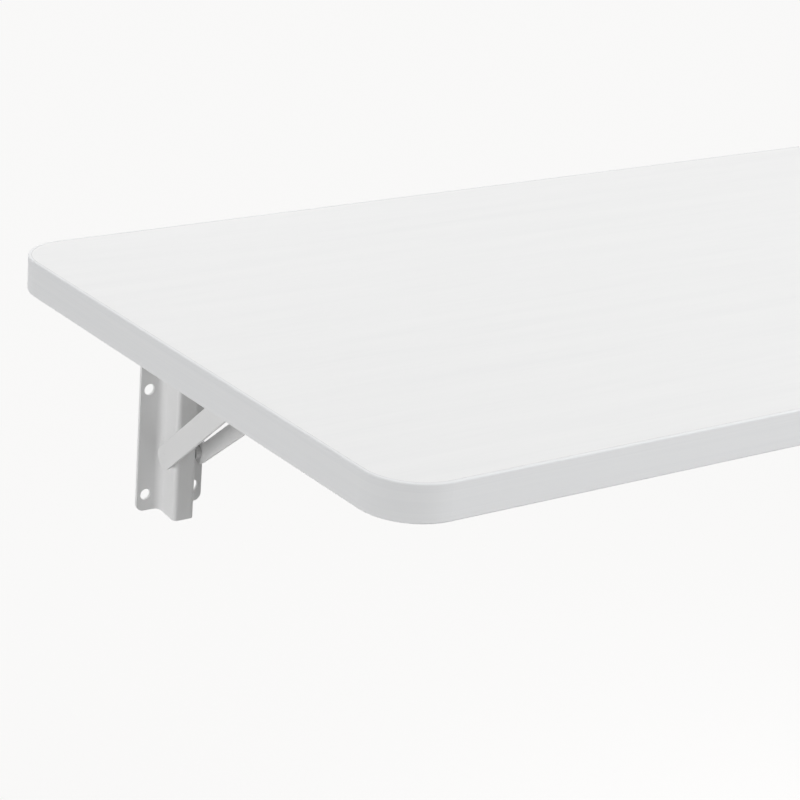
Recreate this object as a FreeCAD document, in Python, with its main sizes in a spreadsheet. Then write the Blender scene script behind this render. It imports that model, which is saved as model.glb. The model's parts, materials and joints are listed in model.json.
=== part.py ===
import FreeCAD, Part
import math
import os
import re
import Sketcher

# Wall-mounted folding desk: a laminated top carried by two folding steel brackets.
# Frame: +X along the desk, -Y out from the wall, +Z up, in millimetres.
# The origin lies on the wall, at mid length, level with the top face.

SIZES = {
    # desk top
    "desk_length": 1000,
    "desk_depth": 400,
    "core_thickness": 20,
    "laminate": 0.5,
    "band_thickness": 2,
    "band_round": 1,
    "corner_radius": 32,
    "wall_gap": 1,
    "bracket_inset": 115.8,
    # wall rail, a folded hat section
    "rail_width": 47,
    "rail_height": 157,
    "rail_drop": 9,
    "rail_sheet": 2,
    "foot_drop": 2,
    "channel_width": 15,
    "channel_depth": 21.3,
    "bend_round": 3,
    "root_round": 4.5,
    "flange_round": 5,
    "wall_hole_radius": 3.7,
    "wall_hole_spacing": 34.6,
    "wall_hole_margin": 11,
    "wall_hole_rise": 71,
    # arm channel and the plate that holds it to the top
    "plate_sheet": 2,
    "plate_width": 52,
    "plate_round": 5,
    "arm_sheet": 2,
    "arm_width": 22,
    "arm_length": 296,
    "arm_eye": 12,
    "arm_nose": 20,
    "arm_taper": 38,
    "arm_bend_round": 1.5,
    "notch_clearance": 0.8,
    "notch_round": 4,
    # places of the three pivots
    "hinge_out": 16,
    "hinge_drop": 27,
    "pivot_out": 16,
    "pivot_share": 0.3321,
    "guide_drop": 12,
    "guide_share": 0.4402,
    "fold_angle": 90,
    "fold_ratio": 1.4,
    # pins, spacers and clearances
    "pin_radius": 3,
    "pin_head_radius": 5,
    "pin_head_height": 1.8,
    "pin_head_round": 1.2,
    "hinge_spacer_radius": 5.2,
    "pivot_spacer_radius": 4.6,
    "running_clearance": 0.05,
    "guide_clearance": 0.3,
    "side_clearance": 0.1,
    "overrun": 1,
    # brace legs
    "leg_sheet": 2,
    "leg_width": 15.3,
    "leg_end": 6.6,
    "leg_round": 6.4,
    "leg_gap": 0.5,
    "relief_start": 4,
    "relief_run": 5,
    "relief_neck": 2.2,
    "relief_crest": 100,
    "relief_waist": -0.8,
    "relief_bow": 5.2,
    "relief_end": 14,
    # wood screws
    "screw_radius": 2,
    "screw_head_radius": 4,
    "screw_head_height": 2.4,
    "screw_head_round": 1,
    "screw_length": 18,
    "screw_tip": 4,
    "screw_spread": 38,
    "screw_margin": 20,
    # spring catch
    "catch_sheet": 1.2,
    "catch_width": 12,
    "catch_seat": 37,
    "catch_slope": 34.7,
    "catch_dip": 2.2,
    "catch_hook": 10.8,
    "catch_tab_reach": 20.7,
    "catch_tab_drop": 10,
}

PATH_STEPS = 12
SIDES = {"left": -1, "right": 1}

# the brace keeps its proportion to the arm, so that its slots end inside the arm
PIVOT_DROP = "(pivot_share * arm_length)"
GUIDE_REACH = "(guide_share * arm_length)"

# heights below the top face, as sums of the driving dimensions
UNDERSIDE = "(core_thickness + 2 * laminate)"
PLATE_FACE = f"({UNDERSIDE} + plate_sheet)"
WEB_FACE = f"({PLATE_FACE} + arm_sheet)"
HINGE_DOWN = f"({UNDERSIDE} + hinge_drop)"
PIVOT_DOWN = f"({HINGE_DOWN} + {PIVOT_DROP})"
GUIDE_DOWN = f"({UNDERSIDE} + guide_drop)"
RAIL_TOP = f"({UNDERSIDE} + rail_drop)"
RAIL_FOOT = f"({RAIL_TOP} + rail_height)"

# distances out from the wall
ARM_REAR = "(hinge_out - arm_eye)"
ARM_FRONT = f"({ARM_REAR} + arm_length)"
GUIDE_OUT = f"(hinge_out + {GUIDE_REACH})"
CATCH_SCREW_OUT = f"({GUIDE_OUT} + pin_radius + guide_clearance + catch_slope + catch_seat / 2)"

# the notch that lets the brace's pivot into the folded arm
NOTCH_REACH = "(pivot_spacer_radius + notch_clearance)"
PIVOT_TURN = f"sqrt({PIVOT_DROP}^2 + (pivot_out - hinge_out)^2)"
NOTCH_FRONT = f"(hinge_out + {PIVOT_TURN} + {NOTCH_REACH})"
NOTCH_REAR = f"(hinge_out + sqrt({PIVOT_TURN}^2 - (arm_eye + pivot_spacer_radius)^2) - {NOTCH_REACH})"
NOTCH_TOP = f"({HINGE_DOWN} + hinge_out - pivot_out - {NOTCH_REACH})"

# the brace, from its pivot on the rail to its guide pin in the arm
BRACE_RISE = f"(hinge_drop - guide_drop + {PIVOT_DROP})"
BRACE_RUN = f"(hinge_out + {GUIDE_REACH} - pivot_out)"
BRACE_LENGTH = f"sqrt({BRACE_RISE}^2 + {BRACE_RUN}^2)"
LEG_FACE = "(arm_width / 2 + leg_gap)"
ARM_INSIDE = "(arm_width / 2 - arm_sheet)"

doc = FreeCAD.newDocument("folding_desk")
sheet = doc.addObject("Spreadsheet::Sheet", "Sizes")
for row, (alias, size) in enumerate(SIZES.items(), start=1):
    sheet.set(f"A{row}", alias)
    sheet.set(f"B{row}", str(size))
    sheet.setAlias(f"B{row}", alias)
doc.recompute()

nodes = []


def bound(text):
    """The expression with every size named as a cell of the sheet."""
    return re.sub("[a-z_]+", lambda word: f"Sizes.{word[0]}" if word[0] in SIZES else word[0], text)


def number(text):
    return float(sheet.evalExpression(bound(text)))


def keep(shaped, label):
    shaped.Label = label
    nodes.append(shaped)
    return shaped


def plane(body, role):
    return next(feature for feature in body.Origin.OriginFeatures if feature.Role == role)


def new_sketch(body, role):
    sketch = body.newObject("Sketcher::SketchObject", "Sketch")
    sketch.AttachmentSupport = [(plane(body, role), "")]
    sketch.MapMode = "FlatFace"
    return sketch


def tie(sketch, kind, geometry, point, text):
    distance = Sketcher.Constraint(kind, -1, 1, geometry, point, number(text))
    sketch.setExpression(f"Constraints[{sketch.addConstraint(distance)}]", bound(text))


def outline(body, role, corners):
    """A closed run of straight lines, with each corner tied to the sheet."""
    sketch = new_sketch(body, role)
    spots = [FreeCAD.Vector(number(across), number(up), 0) for across, up in corners]
    for start, end in zip(spots, spots[1:] + spots[:1]):
        sketch.addGeometry(Part.LineSegment(start, end), False)
    for index, (across, up) in enumerate(corners):
        following = (index + 1) % len(corners)
        sketch.addConstraint(Sketcher.Constraint("Coincident", index, 2, following, 1))
        tie(sketch, "DistanceX", index, 1, across)
        tie(sketch, "DistanceY", index, 1, up)
    return sketch


def circles(body, role, centres, radius):
    sketch = new_sketch(body, role)
    for index, (across, up) in enumerate(centres):
        spot = FreeCAD.Vector(number(across), number(up), 0)
        sketch.addGeometry(Part.Circle(spot, FreeCAD.Vector(0, 0, 1), number(radius)), False)
        tie(sketch, "DistanceX", index, 3, across)
        tie(sketch, "DistanceY", index, 3, up)
        wall = sketch.addConstraint(Sketcher.Constraint("Radius", index, number(radius)))
        sketch.setExpression(f"Constraints[{wall}]", bound(radius))
    return sketch


def rectangle(left, right, low, high):
    return [(left, low), (right, low), (right, high), (left, high)]


def pad(body, sketch, length, symmetric=False, reverse=False):
    feature = body.newObject("PartDesign::Pad", "Pad")
    feature.Profile = sketch
    feature.SideType = "Symmetric" if symmetric else "One side"
    feature.Reversed = reverse
    feature.setExpression("Length", bound(length))
    doc.recompute()
    return feature


def pocket(body, sketch, length, symmetric=False, reverse=False):
    """Cuts the sketch out of the body, and makes sure that something was cut."""
    before = body.Shape.Volume
    feature = body.newObject("PartDesign::Pocket", "Pocket")
    feature.Profile = sketch
    feature.SideType = "Symmetric" if symmetric else "One side"
    feature.Reversed = reverse
    feature.setExpression("Length", bound(length))
    doc.recompute()
    if body.Shape.Volume >= before:
        raise RuntimeError(f"a pocket of {body.Label} cuts nothing")
    return feature


def round_edges(body, radius, wanted):
    """Rounds the edges of the body's last feature that the test picks."""
    base = body.Tip
    names = [f"Edge{index}" for index, edge in enumerate(base.Shape.Edges, start=1) if wanted(edge)]
    feature = body.newObject("PartDesign::Fillet", "Fillet")
    feature.Base = (base, names)
    feature.setExpression("Radius", bound(radius))
    doc.recompute()
    return feature


def runs_along(edge, axis):
    """Whether the edge is straight and lies along the axis x, y or z."""
    box = edge.BoundBox
    spans = {"x": box.XLength, "y": box.YLength, "z": box.ZLength}
    others = [span for name, span in spans.items() if name != axis]
    return max(others) < number("running_clearance") < spans[axis]


def near(found, text):
    return math.isclose(found, number(text), abs_tol=number("running_clearance"))


def new_body(label):
    body = doc.addObject("PartDesign::Body", "Body")
    body.Label = label
    return body


def bracket_middle(side):
    return f"({SIDES[side]} * (desk_length / 2 - bracket_inset))"


def place(shaped, side):
    """Carries a piece that is drawn about x = 0 to its bracket."""
    shaped.setExpression("Placement.Base.x", bound(bracket_middle(side)))


def turned_out(shaped, side, out, down):
    """Lays a piece that is drawn about +Z across its bracket, along X."""
    across = FreeCAD.Rotation(FreeCAD.Vector(0, 1, 0), 90)
    shaped.Placement = FreeCAD.Placement(FreeCAD.Vector(0, 0, 0), across)
    place(shaped, side)
    shaped.setExpression("Placement.Base.y", bound(f"-{out}"))
    shaped.setExpression("Placement.Base.z", bound(f"-{down}"))


def screw_places():
    """The arm screws of one bracket: how far across from its middle, and out from the wall."""
    rows = [
        f"({ARM_REAR} + screw_margin)",
        f"(({ARM_REAR} + {ARM_FRONT}) / 2)",
        f"({ARM_FRONT} - screw_margin)",
    ]
    return [(f"{way} * screw_spread / 2", out) for out in rows for way in (-1, 1)]


def screw_centres():
    """Every screw hole of the top, as corners in its own plane."""
    spots = []
    for side in SIDES:
        middle = bracket_middle(side)
        spots += [(f"{middle} + {across}", f"-{out}") for across, out in screw_places()]
        spots.append((middle, f"-{CATCH_SCREW_OUT}"))
    return spots


def slab(label, inset, top, thickness):
    """A flat board with rounded corners, its edges the inset inside the desk's outline."""
    body = new_body(label)
    corners = rectangle(
        f"-(desk_length / 2 - {inset})",
        f"desk_length / 2 - {inset}",
        f"-(wall_gap + desk_depth - {inset})",
        f"-(wall_gap + {inset})",
    )
    sketch = outline(body, "XY_Plane", corners)
    sketch.setExpression("AttachmentOffset.Base.z", bound(f"-{top}"))
    pad(body, sketch, thickness, reverse=True)
    round_edges(body, f"corner_radius - {inset}", lambda edge: runs_along(edge, "z"))
    return body


def top_pieces():
    core = slab("tabletop_core", "band_thickness", "laminate", "core_thickness")
    holes = circles(core, "XY_Plane", screw_centres(), "screw_radius")
    holes.setExpression("AttachmentOffset.Base.z", bound(f"-({UNDERSIDE} - laminate)"))
    pocket(core, holes, "screw_length - plate_sheet - laminate", reverse=True)
    keep(core, "tabletop_core")

    keep(slab("top_laminate", "band_thickness", "0", "laminate"), "top_laminate")

    lower = slab("bottom_laminate", "band_thickness", f"({UNDERSIDE} - laminate)", "laminate")
    holes = circles(lower, "XY_Plane", screw_centres(), "screw_radius")
    holes.setExpression("AttachmentOffset.Base.z", bound(f"-{UNDERSIDE}"))
    pocket(lower, holes, "laminate", reverse=True)
    keep(lower, "bottom_laminate")

    outer = slab("band_outside", "0", "0", UNDERSIDE)
    round_edges(outer, "band_round", lambda edge: edge.BoundBox.ZLength < number("running_clearance"))
    inner = slab("band_inside", "band_thickness", "-overrun", f"{UNDERSIDE} + 2 * overrun")
    band = doc.addObject("Part::Cut", "Band")
    band.Base = outer
    band.Tool = inner
    keep(band, "edge_band")


def wall_rail(side):
    """A hat section on the wall: two flanges and a channel that holds both pivots."""
    body = new_body(f"{side}_wall_rail")
    half = "channel_width / 2"
    section = [
        ("-rail_width / 2", "0"),
        (f"-({half} - rail_sheet)", "0"),
        (f"-({half} - rail_sheet)", "-(channel_depth - rail_sheet)"),
        (f"{half} - rail_sheet", "-(channel_depth - rail_sheet)"),
        (f"{half} - rail_sheet", "0"),
        ("rail_width / 2", "0"),
        ("rail_width / 2", "-rail_sheet"),
        (half, "-rail_sheet"),
        (half, "-channel_depth"),
        (f"-{half}", "-channel_depth"),
        (f"-{half}", "-rail_sheet"),
        ("-rail_width / 2", "-rail_sheet"),
    ]
    sketch = outline(body, "XY_Plane", section)
    sketch.setExpression("AttachmentOffset.Base.z", bound(f"-({RAIL_FOOT} + foot_drop)"))
    pad(body, sketch, "rail_height + foot_drop")

    def at_front(edge):
        return runs_along(edge, "z") and near(edge.BoundBox.Center.y, "-channel_depth")

    def at_root(edge):
        middle = edge.BoundBox.Center
        return runs_along(edge, "z") and near(middle.y, "-rail_sheet") and near(abs(middle.x), half)

    round_edges(body, "bend_round", at_front)
    round_edges(body, "root_round", at_root)
    below = f"-({RAIL_FOOT} + foot_drop + overrun)"
    slant = [
        ("overrun", below),
        ("overrun", f"-{RAIL_FOOT}"),
        ("-rail_sheet", f"-{RAIL_FOOT}"),
        ("-channel_depth", f"-({RAIL_FOOT} + foot_drop)"),
        ("-channel_depth", below),
    ]
    pocket(body, outline(body, "YZ_Plane", slant), "rail_width + overrun", symmetric=True)
    round_edges(
        body,
        "flange_round",
        lambda edge: runs_along(edge, "y") and near(abs(edge.BoundBox.Center.x), "rail_width / 2"),
    )
    rows = [
        f"-({RAIL_TOP} + wall_hole_margin)",
        f"-({RAIL_FOOT} - wall_hole_margin - wall_hole_rise)",
        f"-({RAIL_FOOT} - wall_hole_margin)",
    ]
    centres = [(f"{way} * wall_hole_spacing / 2", row) for row in rows for way in (-1, 1)]
    holes = circles(body, "XZ_Plane", centres, "wall_hole_radius")
    pocket(body, holes, "rail_sheet + overrun", reverse=True)
    pivots = [("-hinge_out", f"-{HINGE_DOWN}"), ("-pivot_out", f"-{PIVOT_DOWN}")]
    bores = circles(body, "YZ_Plane", pivots, "pin_radius + running_clearance")
    pocket(body, bores, "channel_width + overrun", symmetric=True)
    place(body, side)
    keep(body, f"{side}_wall_rail")


def guide_path():
    """The guide pin's way through the arm, from the open desk to the folded one.

    The brace turns fold_ratio times as far as the top, so the way is a formula of the fold.
    Each point comes with the unit vector along the way.
    """
    length = number(BRACE_LENGTH)
    open_tilt = math.atan2(number(BRACE_RISE), number(BRACE_RUN))
    arm_turn = number("fold_ratio") - 1
    ahead = number("pivot_out - hinge_out")
    drop = number(PIVOT_DROP)
    way = []
    for step in range(PATH_STEPS + 1):
        fold = math.radians(number("fold_angle")) * step / PATH_STEPS
        tilt = open_tilt - arm_turn * fold
        out = ahead * math.cos(fold) + drop * math.sin(fold) + length * math.cos(tilt)
        up = ahead * math.sin(fold) - drop * math.cos(fold) + length * math.sin(tilt)
        out_rate = drop * math.cos(fold) - ahead * math.sin(fold) + arm_turn * length * math.sin(tilt)
        up_rate = drop * math.sin(fold) + ahead * math.cos(fold) - arm_turn * length * math.cos(tilt)
        along = FreeCAD.Vector(0, -out_rate, up_rate).normalize()
        spot = FreeCAD.Vector(0, -number("hinge_out") - out, up - number(HINGE_DOWN))
        way.append((spot, along))
    return way


def guide_cutter(side):
    """The curved slot in both walls of the arm, as the space that it takes away."""
    way = guide_path()
    reach = number("pin_radius + guide_clearance")
    across = FreeCAD.Vector(1, 0, 0)
    edges = []
    for sign in (1, -1):
        wall = Part.BSplineCurve()
        wall.interpolate([spot + across.cross(along) * reach * sign for spot, along in way])
        edges.append(wall.toShape())
    for (spot, along), sign in ((way[0], -1), (way[-1], 1)):
        aside = across.cross(along) * reach
        edges.append(Part.Arc(spot + aside, spot + along * reach * sign, spot - aside).toShape())
    wire = Part.Wire(Part.__sortEdges__(edges))
    width = number("arm_width + 2 * overrun")
    solid = Part.Face(wire).extrude(across * width)
    solid.translate(across * (number(bracket_middle(side)) - width / 2))
    cutter = doc.addObject("Part::Feature", "GuideCutter")
    cutter.Shape = solid
    return cutter


def arm(side):
    """An inverted channel under the top, with a guide slot and a pivot notch in both walls."""
    body = new_body(f"{side}_arm_channel")
    profile = [
        (f"-{ARM_REAR}", f"-{PLATE_FACE}"),
        (f"-{ARM_REAR}", f"-({HINGE_DOWN} + arm_eye)"),
        (f"-({ARM_FRONT} - arm_taper)", f"-({HINGE_DOWN} + arm_eye)"),
        (f"-{ARM_FRONT}", f"-({PLATE_FACE} + arm_nose)"),
        (f"-{ARM_FRONT}", f"-{PLATE_FACE}"),
    ]
    pad(body, outline(body, "YZ_Plane", profile), "arm_width", symmetric=True)

    def at_eye(edge):
        middle = edge.BoundBox.Center
        foot = near(middle.z, f"-({HINGE_DOWN} + arm_eye)")
        return runs_along(edge, "x") and foot and near(middle.y, f"-{ARM_REAR}")

    def on_bend(edge):
        middle = edge.BoundBox.Center
        return runs_along(edge, "y") and near(middle.z, f"-{PLATE_FACE}")

    round_edges(body, "arm_eye", at_eye)
    round_edges(body, "arm_bend_round", on_bend)
    inside = rectangle(
        f"-({ARM_FRONT} + overrun)",
        f"-({ARM_REAR} - overrun)",
        f"-({HINGE_DOWN} + arm_eye + overrun)",
        f"-{WEB_FACE}",
    )
    pocket(body, outline(body, "YZ_Plane", inside), "arm_width - 2 * arm_sheet", symmetric=True)
    foot = f"-({HINGE_DOWN} + arm_eye + overrun)"
    notch = rectangle(f"-{NOTCH_FRONT}", f"-{NOTCH_REAR}", foot, f"-{NOTCH_TOP}")
    pocket(body, outline(body, "YZ_Plane", notch), "arm_width + overrun", symmetric=True)

    def in_notch(edge):
        middle = edge.BoundBox.Center
        side_of_notch = near(middle.y, f"-{NOTCH_FRONT}") or near(middle.y, f"-{NOTCH_REAR}")
        return runs_along(edge, "x") and side_of_notch and near(middle.z, f"-{NOTCH_TOP}")

    round_edges(body, "notch_round", in_notch)
    hinge = circles(body, "YZ_Plane", [("-hinge_out", f"-{HINGE_DOWN}")], "pin_radius")
    pocket(body, hinge, "arm_width + overrun", symmetric=True)
    hole = circles(body, "XY_Plane", [("0", f"-{CATCH_SCREW_OUT}")], "screw_radius")
    hole.setExpression("AttachmentOffset.Base.z", bound(f"-{PLATE_FACE}"))
    pocket(body, hole, "arm_sheet + overrun")
    place(body, side)
    slotted = doc.addObject("Part::Cut", "Arm")
    slotted.Base = body
    slotted.Tool = guide_cutter(side)
    keep(slotted, f"{side}_arm")


def arm_plate(side):
    """The plate that spreads the arm's load on the underside of the top."""
    body = new_body(f"{side}_arm_plate")
    corners = rectangle("-plate_width / 2", "plate_width / 2", f"-{ARM_FRONT}", f"-{ARM_REAR}")
    sketch = outline(body, "XY_Plane", corners)
    sketch.setExpression("AttachmentOffset.Base.z", bound(f"-{UNDERSIDE}"))
    pad(body, sketch, "plate_sheet", reverse=True)
    round_edges(body, "plate_round", lambda edge: runs_along(edge, "z"))
    centres = [(across, f"-{out}") for across, out in screw_places()]
    holes = circles(body, "XY_Plane", centres + [("0", f"-{CATCH_SCREW_OUT}")], "screw_radius")
    holes.setExpression("AttachmentOffset.Base.z", bound(f"-{UNDERSIDE}"))
    pocket(body, holes, "plate_sheet + overrun")
    place(body, side)
    keep(body, f"{side}_arm_plate")


def brace_leg(side, label, corners, face):
    """A flat leg, drawn along +X from its pivot and laid along the brace's slope."""
    body = new_body(f"{side}_{label}")
    pad(body, outline(body, "XY_Plane", corners), "leg_sheet")

    def at_end(edge):
        middle = edge.BoundBox.Center
        ends = near(middle.x, "-leg_end") or near(middle.x, f"{BRACE_LENGTH} + leg_end")
        return runs_along(edge, "z") and ends

    round_edges(body, "leg_round", at_end)
    eyes = circles(body, "XY_Plane", [("0", "0"), (BRACE_LENGTH, "0")], "pin_radius")
    pocket(body, eyes, "leg_sheet + overrun", reverse=True)
    slope = math.atan2(number(BRACE_RISE), number(BRACE_RUN))
    along = FreeCAD.Vector(0, -math.cos(slope), math.sin(slope))
    upward = FreeCAD.Vector(0, math.sin(slope), math.cos(slope))
    turn = FreeCAD.Rotation(along, upward, along.cross(upward), "XYZ")
    body.Placement = FreeCAD.Placement(FreeCAD.Vector(0, 0, 0), turn)
    body.setExpression("Placement.Base.x", bound(f"{bracket_middle(side)} + {face}"))
    body.setExpression("Placement.Base.y", bound("-pivot_out"))
    body.setExpression("Placement.Base.z", bound(f"-{PIVOT_DOWN}"))
    keep(body, f"{side}_{label}")


def brace(side):
    half = "leg_width / 2"
    tip = f"{BRACE_LENGTH} + leg_end"
    brace_leg(side, "brace_plain_leg", rectangle("-leg_end", tip, f"-{half}", half), f"-{LEG_FACE}")
    far_start = f"{BRACE_LENGTH} - relief_end"
    bowed = [
        ("-leg_end", f"-{half}"),
        ("relief_crest", f"-({half} + relief_bow)"),
        (far_start, f"-{half}"),
        (tip, f"-{half}"),
        (tip, half),
        (far_start, half),
        ("relief_crest", "relief_waist"),
        ("relief_start + relief_run", "relief_neck"),
        ("relief_start", half),
        ("-leg_end", half),
    ]
    brace_leg(side, "brace_relieved_leg", bowed, f"{LEG_FACE} + leg_sheet")


def flush_pin(side, label, out, down):
    """A pin riveted flush into both legs of the brace."""
    pin = doc.addObject("Part::Cylinder", "Pin")
    pin.setExpression("Radius", bound("pin_radius"))
    pin.setExpression("Height", bound(f"2 * ({LEG_FACE} + leg_sheet)"))
    turned_out(pin, side, out, down)
    pin.setExpression("Placement.Base.x", bound(f"{bracket_middle(side)} - {LEG_FACE} - leg_sheet"))
    keep(pin, f"{side}_{label}")


def revolved(label, profile):
    """A body turned about +Z from its half profile."""
    body = new_body(label)
    feature = body.newObject("PartDesign::Revolution", "Revolution")
    feature.Profile = outline(body, "XZ_Plane", profile)
    feature.ReferenceAxis = (plane(body, "Z_Axis"), [""])
    doc.recompute()
    return body


def hinge_pin(side):
    """The headed rivet that the arm turns on."""
    grip = "arm_width / 2"
    profile = [
        ("0", f"-({grip} + pin_head_height)"),
        ("pin_head_radius", f"-({grip} + pin_head_height)"),
        ("pin_head_radius", f"-{grip}"),
        ("pin_radius", f"-{grip}"),
        ("pin_radius", grip),
        ("pin_head_radius", grip),
        ("pin_head_radius", f"{grip} + pin_head_height"),
        ("0", f"{grip} + pin_head_height"),
    ]
    body = revolved(f"{side}_hinge_pin", profile)

    def on_head(edge):
        return near(abs(edge.BoundBox.Center.z), f"{grip} + pin_head_height")

    round_edges(body, "pin_head_round", on_head)
    turned_out(body, side, "hinge_out", HINGE_DOWN)
    keep(body, f"{side}_hinge_pin")


def spacers(side, label, radius, outer_face, out, down):
    """Two plain bushes, one at each side of the rail's channel."""
    pair = []
    for way in (-1, 1):
        bush = new_body(f"{side}_{label}_bush")
        sketch = circles(bush, "XY_Plane", [("0", "0")], radius)
        pad(bush, sketch, f"{outer_face} - channel_width / 2 - 2 * side_clearance")
        bore = circles(bush, "XY_Plane", [("0", "0")], "pin_radius + running_clearance")
        pocket(bush, bore, f"{outer_face} + overrun", reverse=True)
        turned_out(bush, side, out, down)
        start = "channel_width / 2 + side_clearance" if way > 0 else f"-({outer_face} - side_clearance)"
        bush.setExpression("Placement.Base.x", bound(f"{bracket_middle(side)} + {start}"))
        pair.append(bush)
    group = doc.addObject("Part::Compound", "Spacers")
    group.Links = pair
    keep(group, f"{side}_{label}")


def screw(label):
    """A round-headed wood screw, its head down and its seat at z = 0."""
    profile = [
        ("0", "-screw_head_height"),
        ("screw_head_radius", "-screw_head_height"),
        ("screw_head_radius", "0"),
        ("screw_radius", "0"),
        ("screw_radius", "screw_length - screw_tip"),
        ("0", "screw_length"),
    ]
    body = revolved(label, profile)

    def on_head(edge):
        return near(edge.BoundBox.Center.z, "-screw_head_height")

    round_edges(body, "screw_head_round", on_head)
    return body


def arm_screws(side):
    pattern = screw(f"{side}_arm_screw")
    middle = number(bracket_middle(side))
    seats = [
        FreeCAD.Vector(middle + number(across), -number(out), -number(PLATE_FACE))
        for across, out in screw_places()
    ]
    group = doc.addObject("Part::Feature", "ArmScrews")
    group.Shape = Part.makeCompound([pattern.Shape.translated(seat) for seat in seats])
    keep(group, f"{side}_arm_screws")


def catch_screw(side):
    body = screw(f"{side}_catch_screw")
    place(body, side)
    body.setExpression("Placement.Base.y", bound(f"-{CATCH_SCREW_OUT}"))
    body.setExpression("Placement.Base.z", bound(f"-({WEB_FACE} + catch_sheet)"))
    keep(body, f"{side}_catch_screw")


def mitred(points, thickness):
    """The same bent line, moved to its left by the thickness."""
    runs = [(end - start).normalize() for start, end in zip(points, points[1:])]
    moved = []
    for index, spot in enumerate(points):
        before = runs[max(index - 1, 0)]
        after = runs[min(index, len(runs) - 1)]
        aside = FreeCAD.Vector(1, 0, 0).cross(before) + FreeCAD.Vector(1, 0, 0).cross(after)
        moved.append(spot + aside * (thickness / (1 + before.dot(after))))
    return moved


def catch_spring(side):
    """A bent spring strip whose hook stands in front of the guide pin of the open desk."""
    hook = number(f"{GUIDE_OUT} + pin_radius + guide_clearance")
    web = number(WEB_FACE)
    slope = number("catch_slope")
    bend = web + number("catch_dip")
    foot = bend + number("catch_hook")
    corners = [
        (hook + slope + number("catch_seat"), web),
        (hook + slope, web),
        (hook, bend),
        (hook, foot),
        (hook + number("catch_tab_reach"), foot + number("catch_tab_drop")),
    ]
    face = [FreeCAD.Vector(0, -out, -down) for out, down in corners]
    width = number("catch_width")
    ring = face + mitred(face, -number("catch_sheet"))[::-1]
    strip = Part.Face(Part.makePolygon(ring + ring[:1])).extrude(FreeCAD.Vector(width, 0, 0))
    strip.translate(FreeCAD.Vector(number(bracket_middle(side)) - width / 2, 0, 0))
    below = number(f"{WEB_FACE} + catch_sheet + overrun")
    seat = FreeCAD.Vector(number(bracket_middle(side)), -number(CATCH_SCREW_OUT), -below)
    hole = Part.makeCylinder(number("screw_radius"), number("catch_sheet + 2 * overrun"), seat)
    spring = doc.addObject("Part::Feature", "CatchSpring")
    spring.Shape = strip.cut(hole)
    keep(spring, f"{side}_catch_spring")


def check_and_write():
    """Writes one file for each node, once every object and shape is sound."""
    doc.recompute()
    for item in doc.Objects:
        if "Invalid" in item.State or "Error" in item.State:
            raise RuntimeError(f"{item.Label} did not compute: {item.State}")
    for node in nodes:
        if node.Shape.isNull() or not node.Shape.isValid():
            raise RuntimeError(f"{node.Label} has no sound shape")
    os.makedirs("parts", exist_ok=True)
    for node in nodes:
        node.Shape.exportStep(f"parts/{node.Label}.step")
        print(f"{node.Label}: {len(node.Shape.Solids)} solids, {node.Shape.Volume:.1f} mm3")


top_pieces()
for side in SIDES:
    wall_rail(side)
    arm(side)
    arm_plate(side)
    brace(side)
    hinge_pin(side)
    flush_pin(side, "pivot_pin", "pivot_out", PIVOT_DOWN)
    flush_pin(side, "guide_pin", GUIDE_OUT, GUIDE_DOWN)
    spacers(side, "hinge_spacers", "hinge_spacer_radius", ARM_INSIDE, "hinge_out", HINGE_DOWN)
    spacers(side, "pivot_spacers", "pivot_spacer_radius", LEG_FACE, "pivot_out", PIVOT_DOWN)
    arm_screws(side)
    catch_spring(side)
    catch_screw(side)
check_and_write()
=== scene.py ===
import json
import math

import bmesh
import bpy
from mathutils import Matrix, Vector

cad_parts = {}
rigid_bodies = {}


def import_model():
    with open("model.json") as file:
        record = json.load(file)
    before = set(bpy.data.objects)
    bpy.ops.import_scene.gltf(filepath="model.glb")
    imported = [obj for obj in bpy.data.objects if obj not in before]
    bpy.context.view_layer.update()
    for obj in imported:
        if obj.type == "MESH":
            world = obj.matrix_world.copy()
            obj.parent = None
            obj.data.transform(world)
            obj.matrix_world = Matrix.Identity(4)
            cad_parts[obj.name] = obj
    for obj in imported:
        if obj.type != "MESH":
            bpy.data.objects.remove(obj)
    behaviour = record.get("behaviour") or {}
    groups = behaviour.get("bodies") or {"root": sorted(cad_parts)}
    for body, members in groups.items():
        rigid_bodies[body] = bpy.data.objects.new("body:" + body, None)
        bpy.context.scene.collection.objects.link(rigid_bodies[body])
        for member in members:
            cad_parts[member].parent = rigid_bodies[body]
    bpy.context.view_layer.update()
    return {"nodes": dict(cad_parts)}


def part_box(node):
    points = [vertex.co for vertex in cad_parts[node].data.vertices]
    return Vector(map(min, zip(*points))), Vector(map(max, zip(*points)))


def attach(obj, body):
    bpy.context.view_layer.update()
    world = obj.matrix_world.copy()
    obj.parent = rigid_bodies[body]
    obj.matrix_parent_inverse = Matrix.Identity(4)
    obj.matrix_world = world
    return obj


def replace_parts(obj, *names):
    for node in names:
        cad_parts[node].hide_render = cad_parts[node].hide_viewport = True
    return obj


for leftover in list(bpy.data.objects):  # the startup cube, lamp and camera
    bpy.data.objects.remove(leftover)

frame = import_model()
nodes = frame["nodes"]
sides = ("left", "right")
print("frame loaded:", len(nodes), "nodes")


def newFinish(name, roughness, gloss=0.5, metal=0.0):
    finish = bpy.data.materials.new(name)
    finish.use_nodes = True
    shader = finish.node_tree.nodes["Principled BSDF"]
    shader.inputs["Roughness"].default_value = sum(roughness) / len(roughness)
    shader.inputs["Specular IOR Level"].default_value = gloss
    shader.inputs["Metallic"].default_value = metal
    return finish, finish.node_tree, shader


def addNode(tree, kind, links=None, **values):
    node = tree.nodes.new(kind)
    for name, value in values.items():
        socket = name.replace("_", " ")
        if socket in node.inputs:
            node.inputs[socket].default_value = value
        else:
            setattr(node, name, value)
    for socket, source in (links or {}).items():
        tree.links.new(source, node.inputs[socket])
    return node


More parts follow.
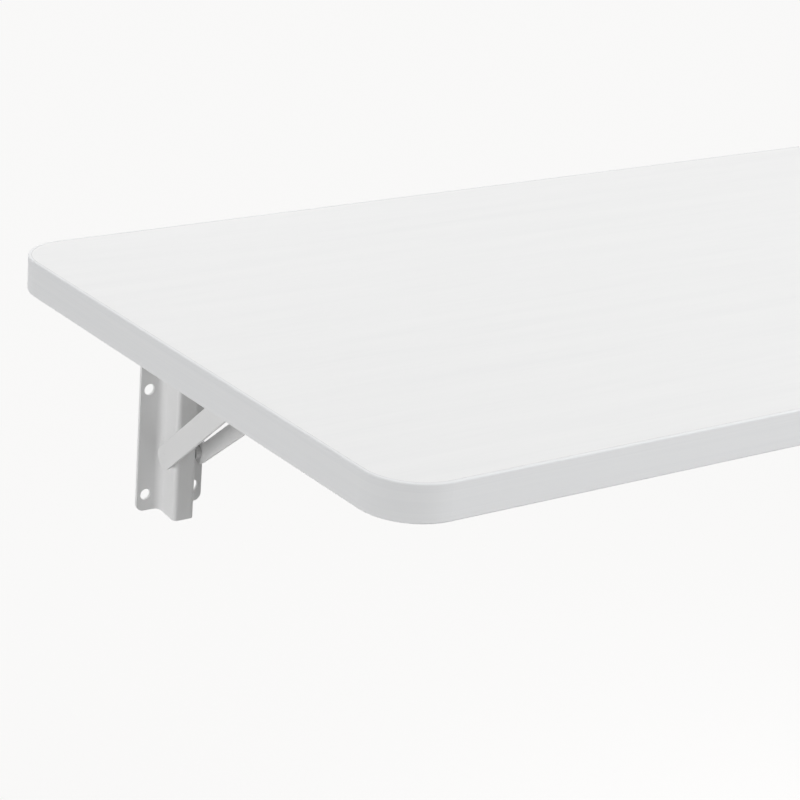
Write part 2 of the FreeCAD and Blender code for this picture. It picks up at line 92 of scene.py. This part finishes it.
def stretched(tree, scale=(1, 1, 1), shift=(0, 0, 0)):  # model coordinates in metres
    where = addNode(tree, "ShaderNodeTexCoord")
    mapping = addNode(tree, "ShaderNodeMapping", {"Vector": where.outputs["Object"]})
    mapping.inputs["Scale"].default_value = scale
    mapping.inputs["Location"].default_value = shift
    return mapping.outputs["Vector"]


def noise(tree, vector, scale=1.0, detail=2.0, roughness=0.5, distortion=0.0):
    return addNode(tree, "ShaderNodeTexNoise", {"Vector": vector}, Scale=scale, Detail=detail,
                   Roughness=roughness, Distortion=distortion).outputs["Fac"]


def cells(tree, vector, scale):
    return addNode(tree, "ShaderNodeTexVoronoi", {"Vector": vector},
                   Scale=scale, Randomness=1.0).outputs["Distance"]


def math2(tree, operation, first, second):
    node = addNode(tree, "ShaderNodeMath", operation=operation)
    for socket, value in zip(node.inputs, (first, second)):
        if isinstance(value, (int, float)):
            socket.default_value = value
        else:
            tree.links.new(value, socket)
    return node.outputs["Value"]


def mixed(tree, textures, shares):  # the textures added up, each times its share
    total = None
    for texture, share in zip(textures, shares):
        part = math2(tree, "MULTIPLY", texture, share)
        total = part if total is None else math2(tree, "ADD", total, part)
    return total


def ramp(tree, fac, stops, colors):
    node = addNode(tree, "ShaderNodeValToRGB", {"Fac": fac})
    band = node.color_ramp
    while len(band.elements) < len(stops):
        band.elements.new(0.5)
    for element, place, color in zip(band.elements, stops, colors):
        element.position = place
        element.color = (*color, 1)
    return node.outputs["Color"]


def spread(tree, fac, limits):  # a 0..1 texture as a roughness
    low, high = limits
    node = addNode(tree, "ShaderNodeMapRange", {"Value": fac}, To_Min=low, To_Max=high)
    return node.outputs["Result"]


def bump(tree, height, depth, under=None):
    links = {"Height": height}
    if under:
        links["Normal"] = under
    return addNode(tree, "ShaderNodeBump", links, Strength=1.0, Distance=depth).outputs["Normal"]


def wire(tree, shader, color, roughness, normal):
    tree.links.new(color, shader.inputs["Base Color"])
    tree.links.new(roughness, shader.inputs["Roughness"])
    tree.links.new(normal, shader.inputs["Normal"])


def dress(finish, *names):
    for name in names:
        for place in nodes[name].material_slots:
            place.material = finish


def bothSides(*names):
    return [f"{side}_{name}" for side in sides for name in names]


topSheet = {
    "colors": ((0.842, 0.844, 0.845), (0.865, 0.866, 0.864), (0.880, 0.880, 0.878)),
    "stops": (0.34, 0.6, 0.84),     # streak, pale and bright
    "shares": (0.14, 0.55, 0.55),   # of the lines, pores and dashes
    "figure": (0.8, 9.0, 1.0),      # stretch of the large figure, along and across the desk
    "figureNoise": {"detail": 3.0, "roughness": 0.55, "distortion": 0.3},
    "swing": 6.0,                   # how far the figure pushes the lines
    "lines": (0.3, 34.0, 1.0),
    "lineRise": 0.5,                # up and down again, so that no line has a hard side
    "pores": (15.0, 460.0, 1.0),
    "dashes": (4.5, 85.0, 1.0),     # short pale strokes of the print
    "dashShift": (3.1, 0.4, 0),
    "grainNoise": {"detail": 4.0, "roughness": 0.6},
    "poreDepth": 0.00006,
    "roughness": (0.5, 0.6),
    "gloss": 0.2,
}


def makeTopSheet():
    look = topSheet
    finish, tree, shader = newFinish("whiteWoodgrain", look["roughness"], look["gloss"])
    figure = noise(tree, stretched(tree, look["figure"]), **look["figureNoise"])
    lines = addNode(tree, "ShaderNodeSeparateXYZ", {"Vector": stretched(tree, look["lines"])})
    push = math2(tree, "MULTIPLY", figure, look["swing"])
    pushed = math2(tree, "ADD", lines.outputs["Y"], push)
    soft = math2(tree, "PINGPONG", pushed, look["lineRise"])
    pores = noise(tree, stretched(tree, look["pores"]), **look["grainNoise"])
    dashes = noise(tree, stretched(tree, look["dashes"], look["dashShift"]), **look["grainNoise"])
    grain = mixed(tree, (soft, pores, dashes), look["shares"])
    wire(tree, shader, ramp(tree, grain, look["stops"], look["colors"]),
         spread(tree, pores, look["roughness"]), bump(tree, pores, look["poreDepth"]))
    return finish


edgeBand = {
    # a touch darker and bluer than the top sheet: partly the band's own white, partly painted
    # shade of the side faces
    "colors": ((0.815, 0.823, 0.834), (0.852, 0.858, 0.866)),
    "stops": (0.32, 0.66),          # streak and pale
    "shares": (0.7, 0.3),           # of the fine and the broad streaks
    "fine": (2.6, 2.6, 620.0),      # lengthwise streaks round all four edges
    "fineNoise": {"detail": 5.0, "roughness": 0.62},
    "broad": (1.7, 1.7, 90.0),
    "broadShift": (0.3, 0.8, 0),
    "depth": 0.00004,
    "roughness": (0.48, 0.58),
    "gloss": 0.2,
}


def makeEdgeBand():
    look = edgeBand
    finish, tree, shader = newFinish("whiteEdge", look["roughness"], look["gloss"])
    fine = noise(tree, stretched(tree, look["fine"]), **look["fineNoise"])
    broad = noise(tree, stretched(tree, look["broad"], look["broadShift"]))
    grain = mixed(tree, (fine, broad), look["shares"])
    wire(tree, shader, ramp(tree, grain, look["stops"], look["colors"]),
         spread(tree, fine, look["roughness"]), bump(tree, fine, look["depth"]))
    return finish


backing = {
    "colors": ((0.74, 0.735, 0.72), (0.80, 0.80, 0.79)),
    "stops": (0.34, 0.62),          # fleck and pale
    "shares": (0.65, 0.35),         # of the paper and the cloud
    "paper": (260.0, 300.0, 1.0),
    "paperNoise": {"detail": 4.0, "roughness": 0.65},
    "cloud": (5.0, 7.0, 1.0),
    "cloudNoise": {"detail": 3.0},
    "depth": 0.00004,
    "roughness": (0.48, 0.62),
}


def makeBacking():
    look = backing
    finish, tree, shader = newFinish("whiteBacking", look["roughness"])
    paper = noise(tree, stretched(tree, look["paper"]), **look["paperNoise"])
    cloud = noise(tree, stretched(tree, look["cloud"]), **look["cloudNoise"])
    grain = mixed(tree, (paper, cloud), look["shares"])
    wire(tree, shader, ramp(tree, grain, look["stops"], look["colors"]),
         spread(tree, paper, look["roughness"]), bump(tree, paper, look["depth"]))
    return finish


chipboard = {
    "colors": ((0.30, 0.19, 0.10), (0.50, 0.36, 0.21), (0.66, 0.52, 0.34)),
    "stops": (0.2, 0.5, 0.85),      # dark, middle and light chips
    "shares": (0.7, 0.5),           # of the flakes and the grit
    "flakes": (0.45, 0.45, 1.0),    # they lie flat
    "flakeScale": 520.0,
    "gritNoise": {"scale": 900.0, "detail": 3.0},
    "depth": 0.0004,
    "roughness": (0.75, 0.95),
    "gloss": 0.2,
}


def makeChipboard():
    look = chipboard
    finish, tree, shader = newFinish("boardCore", look["roughness"], look["gloss"])
    flakes = cells(tree, stretched(tree, look["flakes"]), look["flakeScale"])
    grit = noise(tree, stretched(tree), **look["gritNoise"])
    grain = mixed(tree, (flakes, grit), look["shares"])
    wire(tree, shader, ramp(tree, grain, look["stops"], look["colors"]),
         spread(tree, grit, look["roughness"]), bump(tree, grain, look["depth"]))
    return finish


powderCoat = {
    "colors": ((0.835, 0.836, 0.837), (0.865, 0.866, 0.868)),
    "stops": (0.32, 0.64),          # thin and full coat
    "shares": (0.35, 0.65),         # of the grains and the cloud
    "peelNoise": {"scale": 620.0, "roughness": 0.55},  # orange peel, waves per metre
    "grainNoise": {"scale": 3400.0},
    "cloudNoise": {"scale": 28.0, "detail": 3.0},
    "cloudShift": (0.7, 0.2, 0.1),
    "peelDepth": 0.00005,
    "edgeRadius": 0.0004,
    "roughness": (0.36, 0.48),
}


def makePowderCoat(name):
    look = powderCoat
    finish, tree, shader = newFinish(name, look["roughness"])
    peel = noise(tree, stretched(tree), **look["peelNoise"])
    grains = noise(tree, stretched(tree), **look["grainNoise"])
    cloud = noise(tree, stretched(tree, shift=look["cloudShift"]), **look["cloudNoise"])
    coat = mixed(tree, (grains, cloud), look["shares"])
    rounded = addNode(tree, "ShaderNodeBevel", Radius=look["edgeRadius"])
    wire(tree, shader, ramp(tree, coat, look["stops"], look["colors"]),
         spread(tree, peel, look["roughness"]),
         bump(tree, peel, look["peelDepth"], rounded.outputs["Normal"]))
    return finish


springSteel = {
    "colors": ((0.30, 0.31, 0.34), (0.46, 0.47, 0.49)),
    "stops": (0.3, 0.7),
    "shares": (0.6, 0.4),           # of the rolling marks and the heat tint
    "rolled": (900.0, 14.0, 14.0),
    "rolledNoise": {"detail": 4.0, "roughness": 0.6},
    "heatNoise": {"scale": 60.0},
    "depth": 0.00003,
    "roughness": (0.24, 0.42),
}


def makeSpringSteel():
    look = springSteel
    finish, tree, shader = newFinish("springSteel", look["roughness"], metal=1.0)
    rolled = noise(tree, stretched(tree, look["rolled"]), **look["rolledNoise"])
    heat = noise(tree, stretched(tree), **look["heatNoise"])
    tint = mixed(tree, (rolled, heat), look["shares"])
    wire(tree, shader, ramp(tree, tint, look["stops"], look["colors"]),
         spread(tree, rolled, look["roughness"]), bump(tree, rolled, look["depth"]))
    return finish


zincPlate = {
    "colors": ((0.52, 0.52, 0.50), (0.72, 0.72, 0.70)),
    "stops": (0.25, 0.7),
    "shares": (0.4, 0.6),           # of the spangle and the haze
    "spangleScale": 900.0,
    "hazeNoise": {"scale": 380.0, "detail": 3.0},
    "depth": 0.00003,
    "roughness": (0.26, 0.46),
}


def makeZinc():
    look = zincPlate
    finish, tree, shader = newFinish("zincScrew", look["roughness"], metal=1.0)
    spangle = cells(tree, stretched(tree), look["spangleScale"])
    haze = noise(tree, stretched(tree), **look["hazeNoise"])
    tint = mixed(tree, (spangle, haze), look["shares"])
    wire(tree, shader, ramp(tree, tint, look["stops"], look["colors"]),
         spread(tree, haze, look["roughness"]), bump(tree, haze, look["depth"]))
    return finish


nylon = {
    # grey partly painted shade: the bushes are dimmed from white so that they sit in with the
    # shade around the pivots
    "colors": ((0.55, 0.55, 0.55), (0.62, 0.62, 0.62)),
    "stops": (0.35, 0.65),
    "mouldNoise": {"scale": 1500.0, "detail": 3.0},
    "depth": 0.00003,
    "roughness": (0.42, 0.58),
    "gloss": 0.4,
}


def makeNylon():
    look = nylon
    finish, tree, shader = newFinish("nylonShadeGrey", look["roughness"], look["gloss"])
    mould = noise(tree, stretched(tree), **look["mouldNoise"])
    wire(tree, shader, ramp(tree, mould, look["stops"], look["colors"]),
         spread(tree, mould, look["roughness"]), bump(tree, mould, look["depth"]))
    return finish


whiteSteel = makePowderCoat("whiteSteel")
zinc = makeZinc()
dress(makeTopSheet(), "top_laminate")
dress(makeEdgeBand(), "edge_band")
dress(makeBacking(), "bottom_laminate")
dress(makeChipboard(), "tabletop_core")
dress(whiteSteel, *bothSides("wall_rail", "arm", "arm_plate",
                             "brace_plain_leg", "brace_relieved_leg"))
dress(makePowderCoat("pinSteel"), *bothSides("hinge_pin", "pivot_pin", "guide_pin"))
dress(makeNylon(), *bothSides("hinge_spacers", "pivot_spacers"))
dress(makeSpringSteel(), *bothSides("catch_spring"))
dress(zinc, *bothSides("arm_screws", "catch_screw"))
print("finishes done:", len(bpy.data.materials))


def addPiece(name, mesh, finish, body="top"):
    mesh.materials.clear()
    mesh.materials.append(finish)
    piece = bpy.data.objects.new(name, mesh)
    bpy.context.scene.collection.objects.link(piece)
    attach(piece, body)
    return piece


def skin(shape, rows, capped=True):  # a closed skin over rows of points, capped or joined up
    made = [[shape.verts.new(point) for point in row] for row in rows]
    for row, after in zip(made, made[1:] if capped else made[1:] + made[:1]):
        for index in range(len(row)):
            follow = (index + 1) % len(row)
            shape.faces.new((row[index], row[follow], after[follow], after[index]))
    if capped:
        shape.faces.new(made[0])
        shape.faces.new(made[-1])


def makeMesh(name, shape):
    bmesh.ops.recalc_face_normals(shape, faces=shape.faces)
    mesh = bpy.data.meshes.new(name)
    shape.to_mesh(mesh)
    shape.free()
    return mesh


def smoothed(mesh, limit):  # smooth shading, with the edges over the limit kept sharp
    mesh.shade_smooth()
    mesh.set_sharp_from_angle(angle=math.radians(limit))
    return mesh


woodScrew = {
    "headRadius": 0.004,
    "headHeight": 0.0024,
    "middle": 0.02,                 # first ring of the head, as a share of its radius
    "flat": 0.62,                   # share of its radius before it rounds off
    "rim": 0.36,                    # share of its height under the round
    "roundSteps": 6,
    "rimHeight": 0.0001,            # edge at the seat
    "seat": 0.975,                  # share of the radius that the seat has
    "neck": 1.15,                   # shank at the seat, against the root
    "length": 0.018,
    "tip": 0.004,
    "point": 0.00004,
    "crest": 0.002,
    "root": 0.0014,
    "pitch": 0.0018,
    "ridge": 0.28,                  # half the thread's width, in turns
    "plain": 0.002,                 # smooth neck under the head
    "around": 28,
    "alongTurn": 8,
    "recess": ((0.0023, 0.00062), (0.0011, 0.00042)),  # half length and width, face and bottom
    "recessDepth": 0.0014,
    "recessOverrun": 0.0002,
    "turns": (11, 37),              # degrees, the first screw and each step to the next
    "sharp": 35,
}


def ring(radius, height):
    steps = woodScrew["around"]
    angles = [math.tau * i / steps for i in range(steps)]
    return [(radius * math.cos(angle), radius * math.sin(angle), height) for angle in angles]


def threadRing(height):
    points = []
    for i in range(woodScrew["around"]):
        angle = math.tau * i / woodScrew["around"]
        turn = (height / woodScrew["pitch"] + i / woodScrew["around"]) % 1.0
        ridge = max(0.0, 1.0 - abs(turn - 0.5) / woodScrew["ridge"])
        ridge *= min(1.0, max(0.0, (height - woodScrew["plain"]) / woodScrew["pitch"]))
        radius = woodScrew["root"] + (woodScrew["crest"] - woodScrew["root"]) * ridge
        radius *= min(1.0, (woodScrew["length"] - height) / woodScrew["tip"])
        points.append((radius * math.cos(angle), radius * math.sin(angle), height))
    return points


def makeScrewMesh():  # seat at the origin, shank up, head down
    shape = bmesh.new()
    radius, height = woodScrew["headRadius"], woodScrew["headHeight"]
    flat, rim = woodScrew["flat"], woodScrew["rim"]
    rows = [ring(radius * woodScrew["middle"], -height), ring(radius * flat, -height)]
    for step in range(1, woodScrew["roundSteps"] + 1):
        angle = math.radians(90 * step / woodScrew["roundSteps"])
        wide, deep = flat + (1 - flat) * math.sin(angle), rim + (1 - rim) * math.cos(angle)
        rows.append(ring(radius * wide, -height * deep))
    rows.append(ring(radius, -woodScrew["rimHeight"]))
    rows.append(ring(radius * woodScrew["seat"], 0.0))
    rows.append(ring(woodScrew["root"] * woodScrew["neck"], 0.0))
    count = int(woodScrew["length"] / woodScrew["pitch"] * woodScrew["alongTurn"])
    rows += [threadRing(woodScrew["length"] * step / count) for step in range(1, count)]
    rows.append(ring(woodScrew["point"], woodScrew["length"]))
    skin(shape, rows)
    return makeMesh("woodScrew", shape)


def makeRecessCutter(turned):
    shape = bmesh.new()
    face = -woodScrew["headHeight"] - woodScrew["recessOverrun"]
    bottom = -woodScrew["headHeight"] + woodScrew["recessDepth"]
    rows = []
    for (long, wide), height in zip(woodScrew["recess"], (face, bottom)):
        x, y = (wide, long) if turned else (long, wide)
        rows.append([(-x, -y, height), (x, -y, height), (x, y, height), (-x, y, height)])
    skin(shape, rows)
    return bpy.data.objects.new("recessCutter", makeMesh("recessCutter", shape))


def cutRecess(mesh):
    blank = bpy.data.objects.new("screwBlank", mesh)
    tools = [blank, makeRecessCutter(False), makeRecessCutter(True)]
    for tool in tools:
        bpy.context.scene.collection.objects.link(tool)
    for cutter in tools[1:]:
        cut = blank.modifiers.new("recess", "BOOLEAN")
        cut.operation, cut.solver, cut.object = "DIFFERENCE", "EXACT", cutter
    graph = bpy.context.evaluated_depsgraph_get()
    result = bpy.data.meshes.new_from_object(blank.evaluated_get(graph))
    for tool in tools:
        bpy.data.objects.remove(tool)
    return result


def makeScrews(name, node, places):
    shape = bmesh.new()
    first, further = woodScrew["turns"]
    for index, place in enumerate(places):
        before = len(shape.verts)
        shape.from_mesh(screwMesh)
        shape.verts.ensure_lookup_table()
        turn = Matrix.Rotation(math.radians(first + further * index), 4, "Z")
        placed = Matrix.Translation(place) @ turn
        bmesh.ops.transform(shape, matrix=placed, verts=shape.verts[before:])
    mesh = smoothed(makeMesh(name, shape), woodScrew["sharp"])
    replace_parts(addPiece(name, mesh, zinc), node)


screwMesh = cutRecess(makeScrewMesh())
for side in sides:
    low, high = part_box(f"{side}_arm_screws")
    seat = low[2] + woodScrew["headHeight"]
    inset = woodScrew["headRadius"]
    columns = (low[0] + inset, high[0] - inset)
    outs = (low[1] + inset, (low[1] + high[1]) / 2, high[1] - inset)
    places = [(x, y, seat) for y in outs for x in columns]
    makeScrews(f"{side}ArmScrews", f"{side}_arm_screws", places)
    low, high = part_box(f"{side}_catch_screw")
    seat = low[2] + woodScrew["headHeight"]
    middle = ((low[0] + high[0]) / 2, (low[1] + high[1]) / 2, seat)
    makeScrews(f"{side}CatchScrew", f"{side}_catch_screw", [middle])
print("screws done:", len(screwMesh.vertices), "points each")


weldBead = {
    "reach": 0.0015,                # leg of the bead on the wall and on the plate
    "runs": ((0.030, 0.060), (0.075, 0.105)),  # out from the wall
    "ripple": 0.0022,               # length of one ripple
    "trough": 0.86,                 # reach between ripples, as a share
    "hollow": 0.78,                 # reach at the middle of the bead's face, as a share
    "taper": 9.0,                   # each end takes one part in this many
    "end": 0.03,                    # least share of the reach, at the ends
    "root": 0.0002,                 # how deep it sits in the steel
    "steps": 72,
    "around": 8,
    "sharp": 60,
}


def weldRows(corner, way, start, end):
    rows = []
    root, trough, hollow = weldBead["root"], weldBead["trough"], weldBead["hollow"]
    for step in range(weldBead["steps"] + 1):
        share = step / weldBead["steps"]
        along = start + (end - start) * share
        fade = math.sqrt(min(1.0, weldBead["taper"] * share, weldBead["taper"] * (1.0 - share)))
        ripple = trough + (1 - trough) * abs(math.sin(math.pi * along / weldBead["ripple"]))
        reach = weldBead["reach"] * max(weldBead["end"], fade) * ripple
        row = [(corner[0] - way * root, -along, corner[2] + root)]
        for index in range(weldBead["around"] + 1):
            angle = math.radians(90 * index / weldBead["around"])
            bulge = hollow + (1 - hollow) * abs(math.cos(2 * angle))
            out = reach * math.cos(angle) * bulge - root / 2
            down = reach * math.sin(angle) * bulge - root / 2
            row.append((corner[0] + way * out, -along, corner[2] - down))
        rows.append(row)
    return rows


def makeWelds(side):
    shape = bmesh.new()
    armLow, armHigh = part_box(f"{side}_arm")
    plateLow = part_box(f"{side}_arm_plate")[0]
    for way, wall in ((-1, armLow[0]), (1, armHigh[0])):
        for start, end in weldBead["runs"]:
            skin(shape, weldRows((wall, 0, plateLow[2]), way, start, end))
    mesh = smoothed(makeMesh(f"{side}Welds", shape), weldBead["sharp"])
    addPiece(f"{side}Welds", mesh, whiteSteel)


for side in sides:
    makeWelds(side)
print("welds done")


glueLine = {
    "width": 0.0003,
    "rise": 0.00002,
    "depth": 0.0003,
    "around": 16,                   # steps in each corner
    "bandRadius": 0.032,            # corner of the band's outside
    "band": 0.002,
    "colors": ((0.58, 0.58, 0.58), (0.76, 0.76, 0.76)),
    "stops": (0.3, 0.7),
    "dustNoise": {"scale": 240.0, "detail": 3.0},
    "dustDepth": 0.00002,
    "roughness": (0.5, 0.7),
    "gloss": 0.3,
}


def makeGlueFinish():
    look = glueLine
    finish, tree, shader = newFinish("glueSeam", look["roughness"], look["gloss"])
    dust = noise(tree, stretched(tree), **look["dustNoise"])
    wire(tree, shader, ramp(tree, dust, look["stops"], look["colors"]),
         spread(tree, dust, look["roughness"]), bump(tree, dust, look["dustDepth"]))
    return finish


def seamLoop(low, high, grow, rise):
    radius = glueLine["bandRadius"] - glueLine["band"] + grow
    inset = radius - grow
    points = []
    centres = ((high[0] - inset, high[1] - inset), (low[0] + inset, high[1] - inset),
               (low[0] + inset, low[1] + inset), (high[0] - inset, low[1] + inset))
    for corner, (x, y) in enumerate(centres):
        for step in range(glueLine["around"] + 1):
            angle = math.radians(90 * (corner + step / glueLine["around"]))
            points.append((x + radius * math.cos(angle), y + radius * math.sin(angle),
                           high[2] + rise))
    return points


def makeGlueLine():
    shape = bmesh.new()
    low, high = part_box("top_laminate")
    half = glueLine["width"] / 2
    section = ((-half, glueLine["rise"]), (half, glueLine["rise"]),
               (half, -glueLine["depth"]), (-half, -glueLine["depth"]))
    skin(shape, [seamLoop(low, high, *corner) for corner in section], capped=False)
    addPiece("glueLine", makeMesh("glueLine", shape), makeGlueFinish())


makeGlueLine()
print("seam done")


room = {
    "floorHeight": -0.78,
    "floorSize": 14.0,
    "floorSteps": 24,
    "floorColor": (0.46, 0.46, 0.455),  # what it throws back on the object
    "floorRoughness": (0.9, 0.9),
    "seen": (0.946, 0.942, 0.937),  # what the camera sees of the floor and the world
    "shadow": 0.3,                  # how much of the seen floor is lit by the lamps
    "litShare": 0.72,               # how bright that part is against the rest
    "under": (0, -0.2),             # the floor below the desk
    "shadowReach": (0.5, 1.7),      # metres from there, over which that fades out
    "sky": 0.0,                     # what the object gets from the world
}


def makeSeen(tree):  # the camera, mirrors and glass see a plain near-white
    path = addNode(tree, "ShaderNodeLightPath")
    seen = math2(tree, "MAXIMUM", path.outputs["Is Camera Ray"], path.outputs["Is Glossy Ray"])
    return math2(tree, "MAXIMUM", seen, path.outputs["Is Transmission Ray"])


def makeFloor():
    mesh = bpy.data.meshes.new("studioFloor")
    shape = bmesh.new()
    bmesh.ops.create_grid(shape, x_segments=room["floorSteps"], y_segments=room["floorSteps"],
                          size=room["floorSize"] / 2)
    bmesh.ops.translate(shape, verts=shape.verts, vec=(0, 0, room["floorHeight"]))
    shape.to_mesh(mesh)
    shape.free()
    floor = bpy.data.objects.new("studioFloor", mesh)
    bpy.context.scene.collection.objects.link(floor)
    finish, tree, shader = newFinish("paleFloor", room["floorRoughness"], 0.0)
    shader.inputs["Base Color"].default_value = (*room["floorColor"], 1)
    mesh.materials.append(finish)
    where = addNode(tree, "ShaderNodeTexCoord")
    away = addNode(tree, "ShaderNodeVectorMath", {0: where.outputs["Object"]},
                   operation="DISTANCE")
    away.inputs[1].default_value = (*room["under"], room["floorHeight"])
    near, far = room["shadowReach"]
    fade = addNode(tree, "ShaderNodeMapRange", {"Value": away.outputs["Value"]},
                   interpolation_type="SMOOTHSTEP", From_Min=near, From_Max=far,
                   To_Min=room["shadow"], To_Max=0.0)
    less = math2(tree, "MULTIPLY", fade.outputs["Result"], room["litShare"])
    glow = addNode(tree, "ShaderNodeEmission", {"Strength": math2(tree, "SUBTRACT", 1.0, less)},
                   Color=(*room["seen"], 1))
    tone = addNode(tree, "ShaderNodeVectorMath", {"Scale": fade.outputs["Result"]},
                   operation="SCALE")
    tone.inputs[0].default_value = room["seen"]
    lit = addNode(tree, "ShaderNodeBsdfDiffuse", {"Color": tone.outputs["Vector"]})
    shown = addNode(tree, "ShaderNodeAddShader", {0: glow.outputs["Emission"],
                                                  1: lit.outputs["BSDF"]})
    mix = addNode(tree, "ShaderNodeMixShader", {0: makeSeen(tree), 1: shader.outputs["BSDF"],
                                                2: shown.outputs["Shader"]})
    tree.links.new(mix.outputs["Shader"], tree.nodes["Material Output"].inputs["Surface"])


def makeWorld():
    world = bpy.data.worlds.new("studioWorld")
    bpy.context.scene.world = world
    world.use_nodes = True
    tree = world.node_tree
    sky = tree.nodes["Background"]
    sky.inputs["Color"].default_value = (1, 1, 1, 1)
    sky.inputs["Strength"].default_value = room["sky"]
    seen = addNode(tree, "ShaderNodeBackground", Color=(*room["seen"], 1), Strength=1.0)
    mix = addNode(tree, "ShaderNodeMixShader", {0: makeSeen(tree), 1: sky.outputs["Background"],
                                                2: seen.outputs["Background"]})
    tree.links.new(mix.outputs["Shader"], tree.nodes["World Output"].inputs["Surface"])


lamps = {
    "overhead": {
        "place": (-0.3, 0.8, 2.1),
        "aim": (0, -0.2, 0),
        "size": (2.8, 1.9),
        "power": 38.6,
        "mirrored": True,
    },
    "front": {
        "place": (1.15, -2.4, 1.65),
        "aim": (0, -0.4, 0),
        "size": (3.6, 2.0),
        "power": 100.0,
        "mirrored": False,          # its glare would wash out the top, seen from behind
    },
    "left": {
        "place": (-2.55, -0.38, -0.19),
        "aim": (-0.4, -0.2, -0.1),
        "size": (2.4, 1.1),
        "power": 27.6,
        "mirrored": True,
    },
    "rear": {
        "place": (0.2, 2.6, 0.3),
        "aim": (0, 0, -0.1),
        "size": (2.4, 1.0),
        "power": 14.0,
        "mirrored": True,
    },
}


def makeLamps():
    for name, lamp in lamps.items():
        data = bpy.data.lights.new(name + "Lamp", "AREA")
        data.shape = "RECTANGLE"
        data.size, data.size_y = lamp["size"]
        data.energy = lamp["power"]
        light = bpy.data.objects.new(name + "Lamp", data)
        bpy.context.scene.collection.objects.link(light)
        light.location = lamp["place"]
        light.visible_glossy = lamp["mirrored"]
        toward = Vector(lamp["aim"]) - Vector(lamp["place"])
        light.rotation_euler = toward.to_track_quat("-Z", "Y").to_euler()


cameraView = {
    "place": (-1.14644, -1.2674, 0.46056),
    "azimuth": 36.57,               # degrees, to the right of straight at the wall
    "elevation": 20.96,             # looking down
    "roll": -4.53,
    "lens": 113.3,
    "sensor": 36.0,
    "farthest": 60.0,
}


def makeCamera():
    data = bpy.data.cameras.new("photoCamera")
    data.lens = cameraView["lens"]
    data.sensor_width = cameraView["sensor"]
    data.clip_end = cameraView["farthest"]
    camera = bpy.data.objects.new("photoCamera", data)
    bpy.context.scene.collection.objects.link(camera)
    azimuth, elevation, roll = (math.radians(cameraView[key])
                                for key in ("azimuth", "elevation", "roll"))
    level = math.cos(elevation)
    ahead = Vector((math.sin(azimuth) * level, math.cos(azimuth) * level, -math.sin(elevation)))
    right = Vector((math.cos(azimuth), -math.sin(azimuth), 0))
    down = ahead.cross(right)
    tilted = math.cos(roll) * right + math.sin(roll) * down
    lower = -math.sin(roll) * right + math.cos(roll) * down
    turn = Matrix((tilted, -lower, -ahead)).transposed()
    camera.matrix_world = Matrix.Translation(cameraView["place"]) @ turn.to_4x4()
    bpy.context.scene.camera = camera


makeFloor()
makeWorld()
makeLamps()
makeCamera()
bpy.context.scene.view_settings.view_transform = "Standard"
print("room done")
